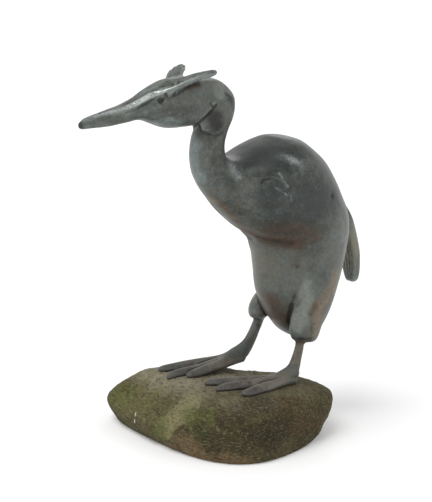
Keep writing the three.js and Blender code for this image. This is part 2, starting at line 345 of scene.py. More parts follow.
def trunk():
    sized = [[z, (front + back) / 2, (back - front) / 2, half] for z, front, back, half in TRUNK]
    z, y, depth, width = round_run(sized, 2).T[..., None]
    side, front = oval(2, 2 * ROUND)
    return skin(np.stack([width * side, y + depth * front, z + 0 * side], -1))


def head_outline(crown, brow, brow_half, cheek_half, cheek, throat):
    """The outline of the head at one station, across and up from its axis."""
    half = [
        [0, -throat],
        [JAW["out"] * cheek_half, JAW["cheek"] * cheek - JAW["down"] * throat],
        [cheek_half, cheek],
        [BROW_EDGE["out"] * brow_half, BROW_EDGE["up"] * brow],
        [CROWN_EDGE["out"] * brow_half, brow + CROWN_EDGE["up"] * (crown - brow)],
        [0, crown],
    ]
    ring = half + [[-x, z] for x, z in half[-2:0:-1]]
    around = smooth_run(ring[-1:] + ring + ring[:2], CORNER_STEPS)
    return around[CORNER_STEPS:-CORNER_STEPS - 1]


def head():
    run = smooth_run(HEAD)
    places = np.stack([0 * run[:, 0], run[:, 0], run[:, 1]], 1)
    ahead = unit(np.gradient(places, axis=0))
    rings = []
    for place, way, sizes in zip(places, ahead, run[:, 2:]):
        sizes[:4] = np.maximum(sizes[:4], POINT)
        outline = head_outline(*sizes)
        up = np.array([0, -way[2], way[1]])
        rings.append(place + outline[:, :1] * [1, 0, 0] + outline[:, 1:] * up)
    return skin(np.array(rings))


def tuft_rows(side):
    root, tip = (np.array(TUFTS[side][end]) for end in ("root", "tip"))
    return [[*(root + (tip - root) * share + [0, 0, rise]), width, depth]
            for share, rise, width, depth in TUFT]


def eye(sign):
    """The ball that hollows an eye."""
    x, y, z = EYE["at"]
    rings = []
    for turn in np.linspace(0, np.pi, ROUND // 2)[1:-1]:
        up, out = EYE["radius"] * math.cos(turn), EYE["radius"] * math.sin(turn)
        rings.append([[sign * (x + EYE_WEAR) + out * c, y + out * s, z + up]
                      for c, s in zip(*oval(2))])
    return skin(np.array(rings))


def ruff(sign, back):
    return limb([[sign * x, y + back, *rest] for x, y, *rest in RUFF])


def stone_faces():
    """The direction of each weathered face, and its distance from the stone's centre."""
    ways, distances = [], []
    for tilt, faces in STONE_BELTS.items():
        for bearing, distance in faces:
            turn, up = math.radians(bearing), math.radians(tilt)
            flat = math.cos(up)
            ways.append([math.cos(turn) * flat, math.sin(turn) * flat, math.sin(up)])
            distances.append(distance)
    return np.array(ways), np.array(distances)


STONE_WAYS, STONE_DISTANCES = stone_faces()


def stone_depth(points, grow=0):
    """How far places lie outside the stone, in millimetres, close to its surface."""
    out = points - STONE_CENTRE
    far = np.linalg.norm(out, axis=-1)
    shares = np.maximum(out @ STONE_WAYS.T, 0) / (STONE_DISTANCES + grow)
    total = (shares**STONE_EDGE).sum(-1) ** (1 / STONE_EDGE)
    steep = np.maximum(far, 1) / np.maximum(total, 1e-6)
    lean = np.minimum(steep, STONE_DISTANCES.min())
    return np.maximum((total - 1) * lean, -points[..., 2] - grow)


def stone_top(x, y):
    """The height of the stone's top at a place in plan."""
    heights = np.linspace(STONE_CENTRE[2], STONE_HIGH[2] + 1, 2000)
    column = np.stack([0 * heights + x, 0 * heights + y, heights], 1)
    return heights[stone_depth(column) < 0].max()


def step(heel, tip, share, lift):
    """A point part of the way from the heel to a place on the stone."""
    x, y = (h + (t - h) * share for h, t in zip(heel, tip))
    straight = heel[2] + (stone_top(*tip) + lift - heel[2]) * share
    return [x, y, max(straight, stone_top(x, y) + lift)]


def foot(heel, tips):
    """Three toes, the webs between them, and the instep under the shank."""
    forms = []
    for tip in tips:
        rows = [[*step(heel, tip, share, TOE_LIFT), width, depth] for share, width, depth in TOE]
        forms.append((limb(rows, TOE_SQUARENESS), FILLET["toe"]))
    for one, other in zip(tips, tips[1:]):
        middle = [(a + b) / 2 for a, b in zip(one, other)]
        spacing = math.dist(one, other)
        rows = [[*step(heel, middle, share, WEB_LIFT), spacing * part / 2, depth]
                for share, part, depth in WEB]
        forms.append((limb(rows), FILLET["toe"]))
    rows = []
    for share, rise, width, depth in INSTEP:
        x, y, z = step(heel, tips[1], share, TOE_LIFT)
        rows.append([x, y, z + rise, width, depth])
    forms.append((limb(rows), FILLET["instep"]))
    return forms


class Casting:
    """A block of cells, each with its distance from the surface in mm, negative inside."""

    def __init__(self, low, high, cell):
        self.cell = cell
        self.first = np.floor(np.array(low) / cell).astype(int)
        self.count = np.ceil(np.array(high) / cell).astype(int) - self.first + 1
        self.depth = np.full(self.count, FAR, np.float32)
        self.grid = openvdb.createLinearTransform(voxelSize=cell)

    def near(self, form, reach):
        """The part of the block around a form, and its distances from that form."""
        points, triangles = form
        start = np.floor((points.min(0) - reach) / self.cell).astype(int) - self.first
        stop = np.ceil((points.max(0) + reach) / self.cell).astype(int) - self.first + 1
        start, stop = np.clip(start, 0, self.count), np.clip(stop, 0, self.count)
        if np.any(stop <= start):
            return None, None
        shape = openvdb.FloatGrid.createLevelSetFromPolygons(
            points.astype(np.float32), triangles=triangles.astype(np.uint32),
            transform=self.grid, halfWidth=max(reach / self.cell, 3))
        depth = np.zeros(stop - start, np.float32)
        shape.copyToArray(depth, ijk=tuple(int(i) for i in start + self.first))
        return tuple(slice(a, b) for a, b in zip(start, stop)), depth

    def places(self, spot):
        """The positions of the cells in a part of the block."""
        axes = [(np.arange(s.start, s.stop) + f) * self.cell for s, f in zip(spot, self.first)]
        return np.stack(np.meshgrid(*axes, indexing="ij"), -1)

    def join(self, form, fillet, sign=1, rim=2):
        """Adds a form, run softly into what is there. The fillet may be a function of place."""
        widest = fillet if np.isscalar(fillet) else max(FILLET.values())
        spot, depth = self.near(form, widest + rim * self.cell)
        if spot is None:
            return
        soft = fillet if np.isscalar(fillet) else fillet(self.places(spot))
        there = sign * self.depth[spot]
        blend = np.maximum(soft - abs(there - depth), 0) / soft
        self.depth[spot] = sign * (np.minimum(there, depth) - blend**2 * soft / 4)

    def cut(self, form, fillet):
        """Takes a form away, with its rim softened."""
        self.join(form, fillet, -1, 3)

    def slab(self, start, stop):
        """The part of the block between two levels."""
        return (slice(0, self.count[0]), slice(0, self.count[1]), slice(start, stop))

    def clear_stone(self, grow):
        """Takes the stone away, with a gap."""
        top = int(np.ceil((STONE_HIGH[2] + 5) / self.cell)) - self.first[2]
        if top <= 0:
            return
        spot = self.slab(0, min(top, self.count[2]))
        stone = stone_depth(self.places(spot), grow)
        self.depth[spot] = np.maximum(self.depth[spot], -stone)

    def surface(self):
        """The points and four-sided faces of the surface, facing out."""
        block = openvdb.FloatGrid(float(FAR))
        block.copyFromArray(self.depth, ijk=tuple(int(i) for i in self.first))
        block.transform = self.grid
        points, quads = block.convertToQuads(isovalue=0)
        return points.astype(float), quads

    def at(self, points):
        """The distance at free places, between the cells."""
        where = points / self.cell - self.first
        base = np.clip(np.floor(where).astype(int), 0, self.count - 2)
        part = where - base
        total = np.zeros(len(points))
        for corner in itertools.product((0, 1), repeat=3):
            weight = np.prod(np.where(corner, part, 1 - part), axis=1)
            total += weight * self.depth[tuple((base + corner).T)]
        return total

    def settle(self, points, rounds=4):
        """Moves points onto the surface."""
        small = self.cell / 2
        for _ in range(rounds):
            slope = np.stack([self.at(points + way) - self.at(points - way)
                              for way in np.eye(3) * small], 1) / (2 * small)
            steep = np.maximum((slope**2).sum(1), 0.2)
            move = np.clip(self.at(points) / steep, -self.cell, self.cell)
            points = points - move[:, None] * slope
        return points


def fillet_between(crisp, soft, axis, start, end):
    """A fillet that goes from crisp to soft along an axis."""
    def fillet(places):
        share = ease(places[..., axis], start, end)
        return FILLET[crisp] + (FILLET[soft] - FILLET[crisp]) * share
    return fillet


NECK_FILLET = fillet_between("throat", "nape", 1, -30, 0)
HIP_FILLET = fillet_between("cuff", "hip", 2, 165, 235)


def cast_grebe(low, high, cell):
    """The whole bird, as far as it lies in a block."""
    bird = Casting(low, high, cell)
    bird.join(trunk(), FILLET["neck"])
    bird.join(limb(in_middle(NECK)), FILLET["neck"])
    for side in SIDES:
        bird.join(limb(THIGHS[side]), HIP_FILLET)
    bird.join(head(), NECK_FILLET)
    for side in SIDES:
        bird.join(limb(tuft_rows(side)), FILLET["tuft"])
        bird.join(limb(SHANKS[side]), FILLET["shank"])
    bird.join(ruff(1, 0), FILLET["ruff"])
    bird.join(ruff(-1, RUFF_BACK), FILLET["ruff"])
    bird.join(limb(in_middle(TAIL), TAIL_SQUARENESS), FILLET["tail"])
    for side in FEET.values():
        for form, fillet in foot(**side):
            bird.join(form, fillet)
    for sign in SIDES.values():
        bird.cut(eye(sign), FILLET["eye"])
    bird.clear_stone(SEAT_GAP)
    return bird


def new_mesh(name, points, faces):
    """A smooth mesh from points in millimetres."""
    mesh = bpy.data.meshes.new(name)
    mesh.from_pydata(points * MM, [], faces.tolist())
    mesh.shade_smooth()
    return mesh


def read_out(layer, name):
    """What a layer of a mesh holds, three numbers for each point."""
    values = np.zeros(len(layer) * 3)
    layer.foreach_get(name, values)
    return values.reshape(-1, 3)


def mesh_points(mesh):
    return read_out(mesh.vertices, "co") / MM


def mesh_normals(mesh):
    return read_out(mesh.vertex_normals, "vector")


def set_points(mesh, points):
    mesh.vertices.foreach_set("co", (points * MM).ravel())
    mesh.update()


def refine(mesh, chosen):
    """Halves the cells whose corners are all chosen."""
    work = bmesh.new()
    work.from_mesh(mesh)
    work.verts.ensure_lookup_table()
    edges = [e for e in work.edges if chosen[e.verts[0].index] and chosen[e.verts[1].index]]
    bmesh.ops.subdivide_edges(work, edges=edges, cuts=1, use_grid_fill=True)
    work.to_mesh(mesh)
    work.free()
    mesh.shade_smooth()


def keep(mesh, name, values):
    """Stores a value per point, for the finish."""
    layer = mesh.attributes.new(name, "FLOAT", "POINT")
    layer.data.foreach_set("value", values.astype(np.float32))


def curve_of(mesh, rounds):
    """How sharply the surface turns at each point, per mm: above 0 on edges, below in hollows."""
    points, normals = mesh_points(mesh), mesh_normals(mesh)
    ends = np.zeros(len(mesh.edges) * 2, int)
    mesh.edges.foreach_get("vertices", ends)
    one, other = np.concatenate([ends.reshape(-1, 2), ends.reshape(-1, 2)[:, ::-1]]).T
    count = np.bincount(one, minlength=len(points))
    spans = ((points[one] - points[other]) ** 2).sum(1)
    reach = np.bincount(one, spans, len(points)) / count * rounds / 4

    def around(values):
        return np.bincount(one, values[other], len(points)) / count

    smooth = points
    for _ in range(rounds):
        smooth = np.stack([around(smooth[:, axis]) for axis in range(3)], 1)
    stands_out = ((points - smooth) * normals).sum(1)
    return around(around(stands_out / reach))


def uneven(points, size, seed, octaves):
    """Soft unevenness from -1 to 1, with hills of about that size in millimetres."""
    places = (points / size + seed * SEED_STEP).tolist()
    if octaves == 1:
        return np.array([noise.noise(place) for place in places])
    return np.array([noise.fractal(place, *HILL_ON_HILL, octaves) for place in places])


def hills(points, rows):
    """Unevenness of several sizes, in mm out."""
    return sum(high * uneven(points, size, seed, octaves) for high, size, seed, octaves in rows)


def along(points, line):
    """The distance of points from a line of places, and the share of the way along it."""
    line = np.array(line, float)
    spans = np.linalg.norm(np.diff(line, axis=0), axis=1)
    start = np.concatenate([[0], np.cumsum(spans)]) / spans.sum()
    near = np.full(len(points), np.inf)
    share = np.zeros(len(points))
    for a, b, s, span in zip(line, line[1:], start, spans):
        t = np.clip((points - a) @ (b - a) / span**2, 0, 1)
        far = np.linalg.norm(points - a - t[:, None] * (b - a), axis=1)
        closer = far < near
        near = np.where(closer, far, near)
        share = np.where(closer, s + t * span / spans.sum(), share)
    return near, share


def scored(points, line, width, fade=(0, 1)):
    """1 along a line and 0 beyond its width. It fades out near both ends, by share of the way."""
    if len(line) == 1:
        return spot_on(points, line[0], width)
    near, share = along(points, line)
    starts = ease(share, 0, fade[0]) if fade[0] > 0 else 1
    stops = 1 - ease(share, fade[1], 1) if fade[1] < 1 else 1
    return np.exp(-(near / width) ** 2) * starts * stops


def spot_on(points, place, radius):
    """1 at a place, falling off round it."""
    return np.exp(-(np.linalg.norm(points - np.array(place), axis=1) / radius) ** 2)


def carved(points, rows):
    """How far the points move out for marks on them, in mm."""
    return sum(out * scored(points, line, width, *fade) for out, width, line, *fade in rows)


def mirrored(points):
    """The points with the bird's right side laid over its left."""
    return np.concatenate([abs(points[:, :1]), points[:, 1:]], axis=1)


# Where the bird is worked finely: the head, the tail, and the feet with their shanks.
FINE_BLOCKS = [
    [[-62, -236, 436], [62, 44, 550]],
    [[-36, 190, 184], [36, 288, 340]],
    [[-104, -64, 64], [98, 136, 128]],
]
# Plain round the wrist of each wing, where the marks are fine but the form is smooth.
WRIST_BLOCK = [[50, 26, 336], [90, 92, 406]]
# How far inside a block the fine work starts.
BLOCK_RIM = 6

# The bright edge between the top and the side of the head, up to where a tuft's rim goes on.
BROW_RIDGE = [
    [1, -221, 474], [4, -208, 478], [6, -194, 482], [8, -180, 484], [9, -165, 486],
    [12, -144, 492], [15, -121, 502], [19, -100, 508],
]
# Where the rim runs on a tuft: from and to these shares, and how far out and up on its section.
RIM_SPAN = [0.16, 0.86]
RIM_OUT = 0.93
RIM_UP = 0.45
# The cheek's back edge, which stands over the neck.
CHEEK_EDGE = [
    [15, -47, 461], [20, -46, 465], [24, -43, 471], [26, -37, 475], [27, -31, 479], [27, -26, 483],
]
# The waist, where the body stands over the belly, and the rust over it.
WAIST = [
    [-2, 72, 281], [14, 73, 281], [32, 82, 279], [44, 90, 278], [55, 100, 278],
    [64, 120, 273], [70, 140, 270],
]
WAIST_RUST = [
    [2, 50, 303], [11, 59, 296], [15, 66, 290], [25, 71, 287], [34, 76, 286],
    [43, 82, 285], [53, 93, 284], [59, 101, 284], [67, 110, 287], [71, 122, 288],
]
SHORT_RIDGE = [[11, -143, 495], [14, -129, 498]]
WING_EDGE = [[74, 151, 355], [74, 158, 345], [73, 167, 332], [71, 180, 302], [68, 184, 285]]
# The crease between the belly and the left thigh, and the seam in its cuff.
CREASE = [
    [46, 112, 211], [42, 110, 200], [37, 109, 187], [30, 112, 170], [24, 116, 156], [24, 118, 148],
]
THIGH_RIDGE = [[x + 7, y - 1, z + 3] for x, y, z in CREASE]
CUFF_HEM = [[59, 128, 139], [54, 114, 139], [42, 108, 141], [30, 113, 140], [25, 122, 141]]
CUFF_SEAM = [[62, 128, 168], [61, 127, 156], [58, 129, 143], [55, 130, 134]]
# Marks of the tool on the wrist of the wing: light welts, and a cut before them.
WRIST_WELTS = [
    [[63, 49, 385], [69, 58, 381], [73, 64, 377], [76, 67, 371]],
    [[66, 58, 391], [70, 61, 383]],
    [[77, 71, 359], [77, 72, 350], [78, 75, 354]],
    [[68, 50, 371], [73, 60, 364], [76, 66, 359]],
]
WRIST_CUT = [[57, 34, 376], [58, 38, 382], [63, 46, 382]]
CROWN_VALLEY = [[4, -160, 491], [7, -144, 497], [10, -121, 507], [13, -100, 514], [14, -86, 520]]
NOSTRIL = [[2.5, -193, 483.5]]
BODY_DENT = [[75, 150, 349]]
CHIP = [[50, 109, 246]]
NECK_PIT = [[25, -21, 392]]
EYE_MARKS = [[19, -107, 494], [21.5, -103, 500]]
LOBE_HOLLOW = [[25, -22, 468], [26, -18, 460]]
LOBE_RIM = [
    [19, -36, 453], [22, -28, 448], [24, -20, 447], [24, -10, 451], [24, -4, 459], [23, -3, 469],
]
LOBE_MARK = [[27, -32, 489], [28, -28, 484], [26, -22, 484]]
# What is carved: how far out in mm, how wide, its line, and where it fades at its ends.
CARVED = [
    (0.6, 1.8, SHORT_RIDGE),
    (-1.3, 1.8, NOSTRIL),
    (-2.4, 9, WAIST, (0, 0.45)),
    (-0.5, 6, WING_EDGE, (0.1, 0.8)),
    (-1.8, 4.5, BODY_DENT),
    (-1.4, 2.6, CHIP),
    (-0.8, 2.4, NECK_PIT),
    (-2.2, 3.4, CREASE, (0.15, 1)),
    (1, 4, THIGH_RIDGE, (0.1, 0.8)),
    (-1.6, 2.4, CUFF_SEAM, (0.3, 1)),
    (-1, 2.4, WRIST_CUT, (0.1, 0.9)),
    (-1.2, 2.2, CUFF_HEM, (0.1, 0.9)),
    (-0.9, 1.8, EYE_MARKS),
    (-1.4, 8, LOBE_HOLLOW),
    (0.9, 2.2, LOBE_RIM, (0.15, 0.85)),
    (-0.8, 1.8, LOBE_MARK),
    *((0.7, 2, welt, (0.1, 0.9)) for welt in WRIST_WELTS),
]
# Stains on both sides, with painted shade and painted highlight among them: how strong, how wide,
# and the line they follow.
STAINS_AND_PAINTED_LIGHT = {
    "rust": [
        (1, 17, WAIST_RUST[:8]),
        (0.6, 12, WAIST_RUST[7:]),
        (0.65, 20, [[34, 56, 308], [49, 67, 307], [62, 83, 306], [70, 101, 302], [74, 118, 296]]),
        (0.5, 11, [[59, 101, 284], [56, 109, 268], [52, 107, 259], [50, 106, 252]]),
        (0.6, 12, [[13, 2, 344], [15, 8, 339], [15, 18, 331], [13, 33, 318], [10, 48, 306]]),
        (0.5, 10, [[10, -13, 358], [13, -3, 348]]),
        (0.7, 6, [[64, 134, 189], [61, 127, 177]]),
        (0.9, 5, [[58, 128, 136], [48, 118, 133], [36, 112, 137]]),
        (0.95, 4.5, [[23, -64, 511], [22, -56, 513], [21, -46, 513]]),
    ],
    "ochre": [
        (0.9, 14, [[66, 170, 228], [66, 167, 217], [66, 159, 206], [66, 147, 193], [64, 138, 178],
                    [64, 137, 167], [60, 136, 150]]),
        (0.3, 18, [[6, 78, 262], [8, 83, 245]]),
        (0.6, 11, [[9, -8, 353], [12, 8, 340], [12, 26, 324], [9, 46, 308]]),
        (0.6, 5, [[30, 104, 190], [32, 105, 182], [29, 107, 174]]),
    ],
    "grime_and_shade": [
        # Painted shadow under the tuft.
        (0.9, 4.5, [[22, -66, 514], [21, -57, 516], [20, -46, 516]]),
        (0.6, 2.4, EYE_MARKS),
        (0.95, 14, LOBE_HOLLOW),
        # Painted shadow under the cheek's back edge.
        (0.8, 3, [[17, -46, 459], [22, -42, 465], [25, -35, 471], [26, -28, 477]]),
        (0.7, 2.2, LOBE_MARK),
        # Painted shadow under the rim of the ruff lobe.
        (0.7, 3, [[19, -35, 449], [22, -27, 444], [24, -18, 443], [24, -7, 447]]),
        (0.8, 8, [[22, 3, 497], [21, 9, 487], [19, 12, 478]]),
        (0.6, 2.4, NECK_PIT),
        (0.95, 7, BODY_DENT),
        # Painted shade along the wing's edge and beside the tail.
        (0.35, 4.5, WING_EDGE[:3]),
        (0.4, 6, [[66, 179, 271], [64, 179, 261]]),
        (0.5, 8, [[31, -1, 379], [33, 4, 371], [35, 11, 367], [38, 16, 367]]),
        (0.9, 4.5, CREASE[2:]),
        (0.8, 2.6, CUFF_SEAM[1:]),
        (0.75, 7, WAIST_RUST[2:7]),
        (0.7, 2.6, CHIP),
        (0.7, 2, WRIST_CUT),
        (0.85, 2.8, CUFF_HEM),
        (0.5, 4, CROWN_VALLEY),
        (1, 9, [[0, -223, 470]]),
        (0.45, 3, [[3, -205, 480], [3, -180, 487], [4, -160, 492]]),
        (0.85, 4, [[45, -36, 532], [42, -40, 531]]),
        (0.6, 1.5, [[14, -94, 517], [24, -78, 522], [34, -62, 528], [42, -46, 532]]),
        (0.5, 1.4, [[24, -88, 513], [33, -75, 519], [41, -59, 526], [45, -48, 530]]),
    ],
    "chalk_and_highlight": [
        *((0.5, 2.4, welt) for welt in WRIST_WELTS),
        # Painted highlight: a soft pale smear on the hump, with a wider faint one round it.
        (0.85, 9, [[60, 83, 407], [65, 90, 402]]),
        (0.4, 16, [[56, 78, 409], [68, 96, 399]]),
        (0.75, 10, [[25, 9, 397], [31, 11, 386]]),
        (0.6, 1.6, [[27, -33, 493]]),
        (0.35, 5, [[72, 173, 292], [67, 182, 279]]),
        # The lobe's raised rim is paler, partly from wear and partly as a painted highlight.
        (0.4, 2.2, LOBE_RIM),
        (0.25, 8, [[16, -128, 478], [20, -109, 473], [22, -91, 470], [24, -71, 470]]),
        (0.4, 8, [[3, -40, 432], [5, -38, 412], [8, -34, 392]]),
    ],
}
# The bird's right side, which is seen less, gets this much of the stains and painted light.
FAR_SIDE = 0.7
# Marks along the brow ridge: how far out or how bright, how wide, the part of the ridge they
# follow, how far inward and up from it they lie, and where they fade.
BROW_CARVED = [
    (1.5, 2.6, slice(0, None), 0, 0, (0.05, 0.92)),
    (-1.3, 4, slice(3, None), 6, 4.5, (0.2, 0.7)),
    (-1.4, 5, slice(2, 9), 1, -8, (0.3, 0.7)),
]
# The bright rows are a painted highlight along the ridge, laid over its worn polish.
BROW_HIGHLIGHT = [
    (0.8, 2.6, slice(0, None), 1.2, 1.6, (0.14, 0.55)),
    (0.9, 4.5, slice(4, 9), 2.5, 2, (0.35, 0.6)),
]
# The painted highlight on a tuft's rubbed tip: how bright, how wide, and where from the tip.
TIP_HIGHLIGHT = (0.4, 3, [0, -3, 2.5])
# Behind its back edge the cheek stands over the neck: the middle of that step and the way over
# it, then how far out, where and how wide its lip and its foot are.
CHEEK_MIDDLE = np.array([0, -37, 472])
CHEEK_WAY = np.array([0, -0.72, 0.69])
CHEEK_STEP = [(0.5, 3, 3), (-2, -2.6, 3)]
# Grooves along the tufts: how deep, how far apart, and how much they slant.
TUFT_GROOVE_DEPTH = 0.85
TUFT_GROOVES = 4.2
TUFT_SLANT = 0.3
# Lines between the tail's feathers, by share of its width and of its depth: places and widths.
TAIL_LINE_DEPTH = 1.1
TAIL_LINES = [-0.72, -0.3, 0.3, 0.72]
TAIL_LINE_WIDTH = 1.3
TAIL_RIMS = [-0.35, 0.35]
TAIL_RIM_WIDTH = 1.2
TAIL_RIM_FROM = 0.78
# Hills of the cast skin: how high, how wide, seed and octaves.
CAST_SKIN = [(0.45, 42, 1, 1), (0.22, 15, 2, 1), (0.08, 5, 3, 1)]
# How far each seed moves the noise, and how fast smaller hills get lower and closer together.
SEED_STEP = 17.3
HILL_ON_HILL = (0.9, 2.1)
# The chasing starts between these distances from the stone.
CHASED_FROM = (0.5, 4)


def brow_ridge(side):
    """The bright edge on one side of the head and along the rim of its tuft."""
    sign = SIDES[side]
    brow = [[sign * x, y, z] for x, y, z in BROW_RIDGE]
    run = round_run(tuft_rows(side), 3)
    across, down = limb_frame(run[:, :3])
    rim = run[:, :3] + sign * RIM_OUT * run[:, 3:4] * across - RIM_UP * run[:, 4:5] * down
    first, last = (int(len(rim) * share) for share in RIM_SPAN)
    return np.array(brow + rim[first:last:STEPS // 2].tolist())


def beside_brow(points, side, rows):
    """What follows the brow ridge on one side."""
    ridge, sign = brow_ridge(side), SIDES[side]
    return carved(points, [(much, width, ridge[part] + [-sign * inward, 0, up], fade)
                           for much, width, part, inward, up, fade in rows])


def tuft_grooves(points, side):
    """Lengthwise grooves on the top of a tuft, which run on over the crown."""
    root, tip = (np.array(TUFTS[side][end], float) for end in ("root", "tip"))
    way = tip - root
    share = (points - root) @ way / (way @ way)
    across, down = (axis[0] for axis in limb_frame(np.array([root, tip])))
    beside = points - root - share[:, None] * way
    aside, above = beside @ across, -beside @ down
    waves = np.cos(2 * np.pi * (aside / TUFT_GROOVES + TUFT_SLANT * share))
    here = (1 - ease(abs(aside), 8, 14)) * ease(above, -4, 2) * (1 - ease(above, 14, 20))
    return (waves - 0.3) * here * ease(share, -0.35, 0.1) * (1 - ease(share, 0.9, 1))


def tail_lines(points):
    """Lengthwise lines between the feathers of the tail and wing tips."""
    axis = round_run(in_middle(TAIL), 3)[::STEPS // 2]
    near, share = along(points, axis[:, :3])
    stations = np.linspace(0, 1, len(axis))
    width, depth = (np.interp(share, stations, radii) for radii in (axis[:, 3], axis[:, 4]))
    aside = points[:, 0] / np.maximum(width, 4)
    lines = sum(np.exp(-((aside - place) * width / TAIL_LINE_WIDTH) ** 2) for place in TAIL_LINES)
    edge = ease(abs(points[:, 0]) - TAIL_RIM_FROM * width, 0, 2)
    edge = edge * (1 - ease(near, width, width + 4))
    behind = points[:, 1] - np.interp(-points[:, 2], -axis[:, 2], axis[:, 1])
    rims = sum(np.exp(-((behind - place * depth) / TAIL_RIM_WIDTH) ** 2) for place in TAIL_RIMS)
    here = ease(share, 0.12, 0.3) * (1 - ease(near, 1.1 * width, 1.1 * width + 5))
    return (lines + rims * edge) * here


def polish_and_highlight(points):
    """1 where hands and weather have rubbed the bill, brow and tufts smooth, and where a highlight
    is painted along them.
    """
    polish_and_sheen = np.zeros(len(points))
    much, width, off = TIP_HIGHLIGHT
    for side in SIDES:
        polish_and_sheen += beside_brow(points, side, BROW_HIGHLIGHT)
        polish_and_sheen += much * spot_on(points, np.add(TUFTS[side]["tip"], off), width)
    return polish_and_sheen


def stain_and_light(points, rows):
    """How strong the stains and painted light of some rows are at each point: 1 is most."""
    both = mirrored(points)
    most = np.zeros(len(points))
    for strength, width, line in rows:
        most = np.maximum(most, strength * scored(both, line, width))
    return most * np.where(points[:, 0] < 0, FAR_SIDE, 1)


def chase_grebe(points):
    """What the tools did to the cast surface: how far each point moves out, in mm."""
    both = mirrored(points)
    move = hills(points, CAST_SKIN)
    for side in SIDES:
        move += beside_brow(points, side, BROW_CARVED)
        move += TUFT_GROOVE_DEPTH * tuft_grooves(points, side)
    over = (both - CHEEK_MIDDLE) @ CHEEK_WAY
    cheek = sum(out * np.exp(-((over - at) / width) ** 2) for out, at, width in CHEEK_STEP)
    near_edge = 1 - ease(along(both, CHEEK_EDGE)[0], 5, 13)
    move += cheek * near_edge * ease(both[:, 0], 8, 16)
    return move + carved(both, CARVED) - TAIL_LINE_DEPTH * tail_lines(points)


def inside_block(points, block):
    low, high = np.array(block)
    return np.all((points > low + BLOCK_RIM) & (points < high - BLOCK_RIM), 1)


def make_grebe():
    """The bird as one smooth mesh, fine at its head, tail and feet, then chased."""
    margin = 4 * CELL
    bird = cast_grebe(BIRD_LOW - margin, BIRD_HIGH + margin, CELL)
    mesh = new_mesh("grebe_cast", *bird.surface())
    for block in FINE_BLOCKS:
        refine(mesh, inside_block(mesh_points(mesh), block))
        points = mesh_points(mesh)
        inside = inside_block(points, block)
        points[inside] = cast_grebe(*block, FINE_CELL).settle(points[inside])
        set_points(mesh, points)
    refine(mesh, inside_block(mirrored(mesh_points(mesh)), WRIST_BLOCK))
    points, normals = mesh_points(mesh), mesh_normals(mesh)
    move = chase_grebe(points) * ease(stone_depth(points, SEAT_GAP), *CHASED_FROM)
    for name, rows in STAINS_AND_PAINTED_LIGHT.items():
        keep(mesh, name, stain_and_light(points, rows))
    keep(mesh, "polish_and_highlight", polish_and_highlight(points))
    set_points(mesh, points + normals * move[:, None])
    keep(mesh, "stands_out", curve_of(mesh, 4))
    return mesh


# Hills, grain and pits of the stone: how high, how wide, seed and octaves.
STONE_HILLS = [(2.2, 60, 11, 2), (1.5, 22, 12, 2)]
STONE_GRAIN = [(0.55, 7, 13, 3), (0.3, 3.2, 14, 1)]
STONE_PITS = [(1, 8, 15, 1)]
PIT_DEPTH, PIT_RIM = 0.9, (0.3, 0.7)
# Its soft ridge down the front, the hollow at its right and the scoop beside the ridge.
STONE_MARKS = [
    (1.8, 10, [[11, -55, 77], [13, -71, 59], [8, -85, 38], [-5, -88, 13]], (0.1, 0.8)),
    (-3.2, 17, [[121, 37, 58]]),
    (-1.6, 22, [[46, -66, 40]]),
]
# The stone turns from plain to rough between two distances from a toe, and between two heights
# above its foot, which is level up to STONE_LEVEL.
SOLE_RIM = (9, 17)
STONE_LEVEL = 0.4
ROUGH_FROM = (0.5, 7)


def under_feet(points):
    """1 where a sole lies on the stone, fading out round it."""
    here = np.zeros(len(points))
    for side in FEET.values():
        for tip in side["tips"]:
            line = [step(side["heel"], tip, share, 0) for share in (0, 0.25, 0.5, 0.75, 1)]
            here = np.maximum(here, 1 - ease(along(points, line)[0], *SOLE_RIM))
    return here


def make_stone():
    """The boulder as one mesh, level where it rests and plain under the soles."""
    block = Casting(STONE_LOW - 5, STONE_HIGH + 5, STONE_CELL)
    for level in range(block.count[2]):
        spot = block.slab(level, level + 1)
        block.depth[spot] = stone_depth(block.places(spot))
    mesh = new_mesh("boulder_rough", *block.surface())
    points, normals = mesh_points(mesh), mesh_normals(mesh)
    forms = hills(points, STONE_HILLS) + carved(points, STONE_MARKS)
    pits = PIT_DEPTH * ease(hills(points, STONE_PITS), *PIT_RIM)
    grain = hills(points, STONE_GRAIN) - pits
    free = 1 - under_feet(points)
    move = forms * free + np.where(free < 1, np.minimum(grain, 0), grain)
    points += normals * (move * ease(points[:, 2], *ROUGH_FROM))[:, None]
    points[:, 2] = np.where(points[:, 2] < STONE_LEVEL, 0, points[:, 2])
    set_points(mesh, points)
    keep(mesh, "stands_out", curve_of(mesh, 5))
    return mesh


def new_object(name, data):
    thing = bpy.data.objects.new(name, data)
    bpy.context.scene.collection.objects.link(thing)
    return thing


def piece(name, mesh, node, finish):
    """Puts a mesh in the place of a node of the frame."""
    thing = new_object(name, mesh)
    mesh.materials.append(finish)
    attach(thing, "root")
    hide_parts(node)


